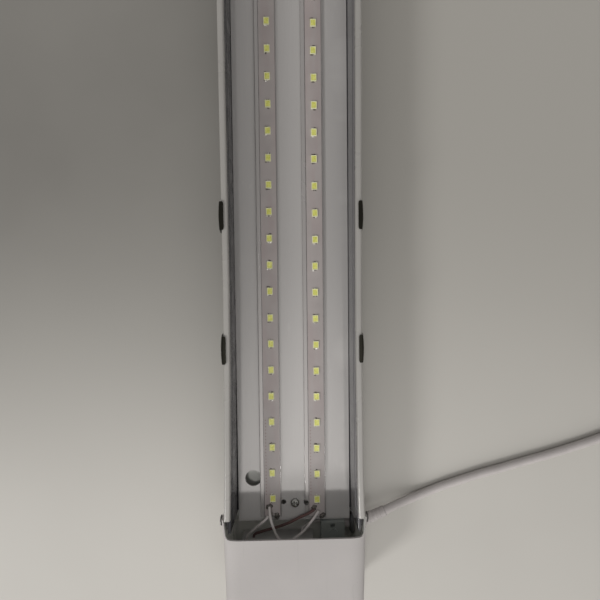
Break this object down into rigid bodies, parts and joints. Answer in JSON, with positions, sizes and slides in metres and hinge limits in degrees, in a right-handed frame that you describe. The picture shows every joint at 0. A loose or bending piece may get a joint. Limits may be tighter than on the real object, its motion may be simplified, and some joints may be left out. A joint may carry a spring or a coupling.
{
  "type": "led aquarium light",
  "caption": "Long white trough light with rows of LEDs on a glossy tray, an end box at each end, polished rim clips and a mains cord.",
  "frame": {"origin": "middle of the flat back that the light lies on, on the surface it rests on", "axes": "+Y along the length away from the cord end, +X across towards the side the cord leaves, +Z out of the lit face"},
  "size_m": [0.3444, 0.712, 0.043],
  "materials": {
    "white_shell": "white gloss, slightly grey in the room light",
    "grey_wall": "dark grey satin inner wall",
    "tray_metal": "glossy light grey reflector sheet",
    "bar_metal": "bright aluminium bar",
    "led_strip": "pinkish white circuit strip with yellow LED packages",
    "clip_steel": "polished stainless spring steel",
    "screw_steel": "bright zinc plated steel",
    "bracket_steel": "dark grey steel sheet",
    "case_plastic": "off-white plastic",
    "circuit_board": "green circuit board with components",
    "block_plastic": "grey green plastic terminal block",
    "red_wire": "dark red wire insulation",
    "grey_wire": "grey wire insulation",
    "cord_sheath": "white PVC cable sheath",
    "plug_plastic": "white moulded PVC",
    "tie_strap": "black hook and loop strap"
  },
  "bodies": {
    "light": {"backing_bar_left": "bar_metal", "backing_bar_right": "bar_metal", "cord_coil": "cord_sheath", "cord_gland": "plug_plastic", "cord_inner_end": "cord_sheath", "cord_tie": "tie_strap", "cord_to_plug": "cord_sheath", "driver_board": "circuit_board", "driver_case": "case_plastic", "driver_lid": "case_plastic", "end_box_far": "white_shell", "end_box_near": "white_shell", "end_bracket_far": "bracket_steel", "end_bracket_near": "bracket_steel", "jumper_wire": "grey_wire", "led_strip_left": "led_strip", "led_strip_right": "led_strip", "mains_cord": "cord_sheath", "mains_wire_live": "red_wire", "mains_wire_neutral": "grey_wire", "plug_body": "plug_plastic", "plug_pin_left": "screw_steel", "plug_pin_right": "screw_steel", "plug_relief": "plug_plastic", "reflector_tray": "tray_metal", "side_rail_left": "grey_wall", "side_rail_right": "grey_wall", "side_screw_far_left": "screw_steel", "side_screw_far_right": "screw_steel", "side_screw_near_left": "screw_steel", "side_screw_near_right": "screw_steel", "supply_wire_red": "red_wire", "supply_wire_return": "grey_wire", "terminal_block": "block_plastic", "tray_screw_far": "screw_steel", "tray_screw_near": "screw_steel", "tray_standoff_far": "screw_steel", "tray_standoff_near": "screw_steel", "tray_support_far": "bracket_steel", "tray_support_near": "bracket_steel", "trough": "white_shell"},
    "clip_left_1": {"clip_left_1": "clip_steel"},
    "clip_left_2": {"clip_left_2": "clip_steel"},
    "clip_left_3": {"clip_left_3": "clip_steel"},
    "clip_left_4": {"clip_left_4": "clip_steel"},
    "clip_right_1": {"clip_right_1": "clip_steel"},
    "clip_right_2": {"clip_right_2": "clip_steel"},
    "clip_right_3": {"clip_right_3": "clip_steel"},
    "clip_right_4": {"clip_right_4": "clip_steel"}
  },
  "joints": [
    {"name": "clip_left_1_swing", "type": "hinge", "parent": "light", "child": "clip_left_1", "pos_m": [-0.0407, -0.191, 0.0129], "axis": [0, -1, 0], "range_deg": [0, 35]},
    {"name": "clip_left_2_swing", "type": "hinge", "parent": "light", "child": "clip_left_2", "pos_m": [-0.0407, -0.115, 0.0129], "axis": [0, -1, 0], "range_deg": [0, 35]},
    {"name": "clip_left_3_swing", "type": "hinge", "parent": "light", "child": "clip_left_3", "pos_m": [-0.0407, 0.115, 0.0129], "axis": [0, -1, 0], "range_deg": [0, 35]},
    {"name": "clip_left_4_swing", "type": "hinge", "parent": "light", "child": "clip_left_4", "pos_m": [-0.0407, 0.191, 0.0129], "axis": [0, -1, 0], "range_deg": [0, 35]},
    {"name": "clip_right_1_swing", "type": "hinge", "parent": "light", "child": "clip_right_1", "pos_m": [0.0407, -0.191, 0.0129], "axis": [0, 1, 0], "range_deg": [0, 35]},
    {"name": "clip_right_2_swing", "type": "hinge", "parent": "light", "child": "clip_right_2", "pos_m": [0.0407, -0.115, 0.0129], "axis": [0, 1, 0], "range_deg": [0, 35]},
    {"name": "clip_right_3_swing", "type": "hinge", "parent": "light", "child": "clip_right_3", "pos_m": [0.0407, 0.115, 0.0129], "axis": [0, 1, 0], "range_deg": [0, 35]},
    {"name": "clip_right_4_swing", "type": "hinge", "parent": "light", "child": "clip_right_4", "pos_m": [0.0407, 0.191, 0.0129], "axis": [0, 1, 0], "range_deg": [0, 35]}
  ]
}
